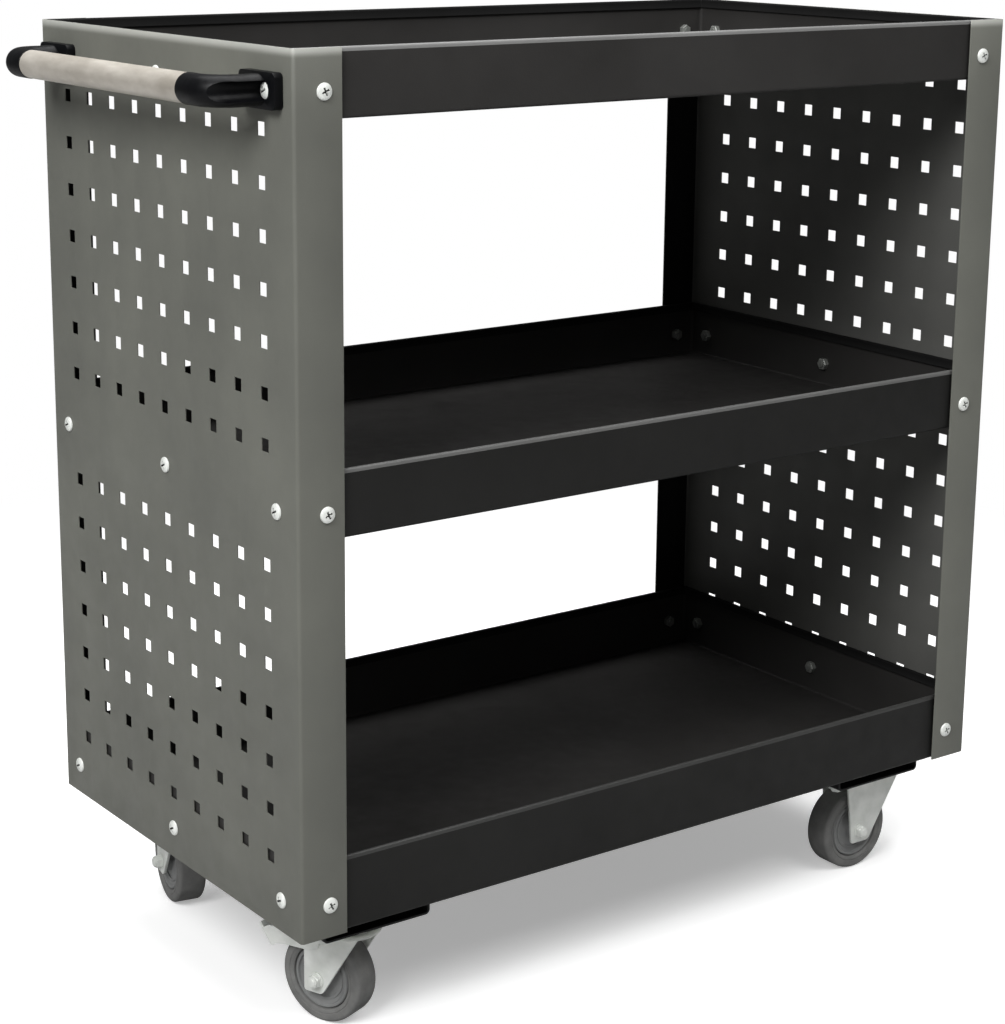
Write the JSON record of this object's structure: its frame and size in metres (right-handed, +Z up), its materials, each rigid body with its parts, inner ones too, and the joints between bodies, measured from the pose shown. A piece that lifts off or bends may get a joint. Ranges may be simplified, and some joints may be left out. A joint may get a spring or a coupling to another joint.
{
  "type": "tool cart",
  "caption": "Rolling tool cart: perforated side panels carrying sheet-metal trays, a tube push handle on one end, braked swivel casters under it and fixed casters at the other end.",
  "frame": {"origin": "middle of the whole cart's box at floor level, between the handle and the far panel's screws, and between the front screws and the rear brake pedal", "axes": "+Z up from the floor, +X along the cart away from the handle, +Y from front to back"},
  "size_m": [0.7621, 0.4064, 0.772],
  "materials": {
    "panel_grey": "satin powder coat, warm mid grey",
    "tray_black": "satin powder coat, near black",
    "zinc": "bright zinc plating on pressed steel",
    "handle_silver": "satin plated steel tube, slightly mottled",
    "bracket_black": "moulded black plastic, fine texture",
    "hub_grey": "moulded grey plastic wheel centre",
    "tyre_grey": "grey non-marking rubber tread"
  },
  "bodies": {
    "frame": {"side_panel_left": "panel_grey", "side_panel_right": "panel_grey", "tray_top": "tray_black", "tray_middle": "tray_black", "tray_bottom": "tray_black", "caster_channel_left": "tray_black", "caster_channel_right": "tray_black", "handle_tube": "handle_silver", "handle_bracket_front": "bracket_black", "handle_bracket_rear": "bracket_black", "handle_screw_front": "zinc", "handle_screw_rear": "zinc", "flange_screw_left_top_front": "zinc", "flange_screw_left_top_rear": "zinc", "flange_screw_left_middle_front": "zinc", "side_screw_left_middle_front": "zinc", "flange_screw_left_middle_rear": "zinc", "side_screw_left_middle_rear": "zinc", "flange_screw_left_bottom_front": "zinc", "side_screw_left_bottom_front": "zinc", "flange_screw_left_bottom_rear": "zinc", "side_screw_left_bottom_rear": "zinc", "flange_screw_right_top_front": "zinc", "side_screw_right_top_front": "zinc", "flange_screw_right_top_rear": "zinc", "side_screw_right_top_rear": "zinc", "flange_screw_right_middle_front": "zinc", "side_screw_right_middle_front": "zinc", "flange_screw_right_middle_rear": "zinc", "side_screw_right_middle_rear": "zinc", "flange_screw_right_bottom_front": "zinc", "side_screw_right_bottom_front": "zinc", "flange_screw_right_bottom_rear": "zinc", "side_screw_right_bottom_rear": "zinc", "swivel_front_plate": "zinc", "swivel_front_bearing_ring": "zinc", "swivel_front_kingpin": "zinc", "swivel_rear_plate": "zinc", "swivel_rear_bearing_ring": "zinc", "swivel_rear_kingpin": "zinc", "fixed_front_plate": "zinc", "fixed_front_fork": "zinc", "fixed_front_axle_bolt": "zinc", "fixed_rear_plate": "zinc", "fixed_rear_fork": "zinc", "fixed_rear_axle_bolt": "zinc"},
    "swivel_front": {"swivel_front_fork": "zinc", "swivel_front_axle_bolt": "zinc"},
    "wheel_swivel_front": {"swivel_front_hub": "hub_grey", "swivel_front_tyre": "tyre_grey"},
    "brake_front": {"swivel_front_brake_pedal": "zinc"},
    "swivel_rear": {"swivel_rear_fork": "zinc", "swivel_rear_axle_bolt": "zinc"},
    "wheel_swivel_rear": {"swivel_rear_hub": "hub_grey", "swivel_rear_tyre": "tyre_grey"},
    "brake_rear": {"swivel_rear_brake_pedal": "zinc"},
    "wheel_fixed_front": {"fixed_front_hub": "hub_grey", "fixed_front_tyre": "tyre_grey"},
    "wheel_fixed_rear": {"fixed_rear_hub": "hub_grey", "fixed_rear_tyre": "tyre_grey"}
  },
  "joints": [
    {"name": "swivel_front_turn", "type": "hinge", "parent": "frame", "child": "swivel_front", "pos_m": [-0.24675, -0.13628, 0.085], "axis": [0, 0, 1], "continuous": true},
    {"name": "swivel_front_roll", "type": "hinge", "parent": "swivel_front", "child": "wheel_swivel_front", "pos_m": [-0.2532, -0.11947, 0.0375], "axis": [-0.9336, -0.3584, 0], "continuous": true},
    {"name": "brake_front_press", "type": "hinge", "parent": "swivel_front", "child": "brake_front", "pos_m": [-0.25428, -0.11667, 0.071], "axis": [-0.9336, -0.3584, 0], "range_deg": [0, 13]},
    {"name": "swivel_rear_turn", "type": "hinge", "parent": "frame", "child": "swivel_rear", "pos_m": [-0.24675, 0.12772, 0.085], "axis": [0, 0, 1], "continuous": true},
    {"name": "swivel_rear_roll", "type": "hinge", "parent": "swivel_rear", "child": "wheel_swivel_rear", "pos_m": [-0.24332, 0.14539, 0.0375], "axis": [-0.9816, 0.1908, 0], "continuous": true},
    {"name": "brake_rear_press", "type": "hinge", "parent": "swivel_rear", "child": "brake_rear", "pos_m": [-0.24274, 0.14834, 0.071], "axis": [-0.9816, 0.1908, 0], "range_deg": [0, 13]},
    {"name": "fixed_front_roll", "type": "hinge", "parent": "frame", "child": "wheel_fixed_front", "pos_m": [0.29725, -0.13628, 0.0375], "axis": [0, 1, 0], "continuous": true},
    {"name": "fixed_rear_roll", "type": "hinge", "parent": "frame", "child": "wheel_fixed_rear", "pos_m": [0.29725, 0.12772, 0.0375], "axis": [0, 1, 0], "continuous": true}
  ]
}
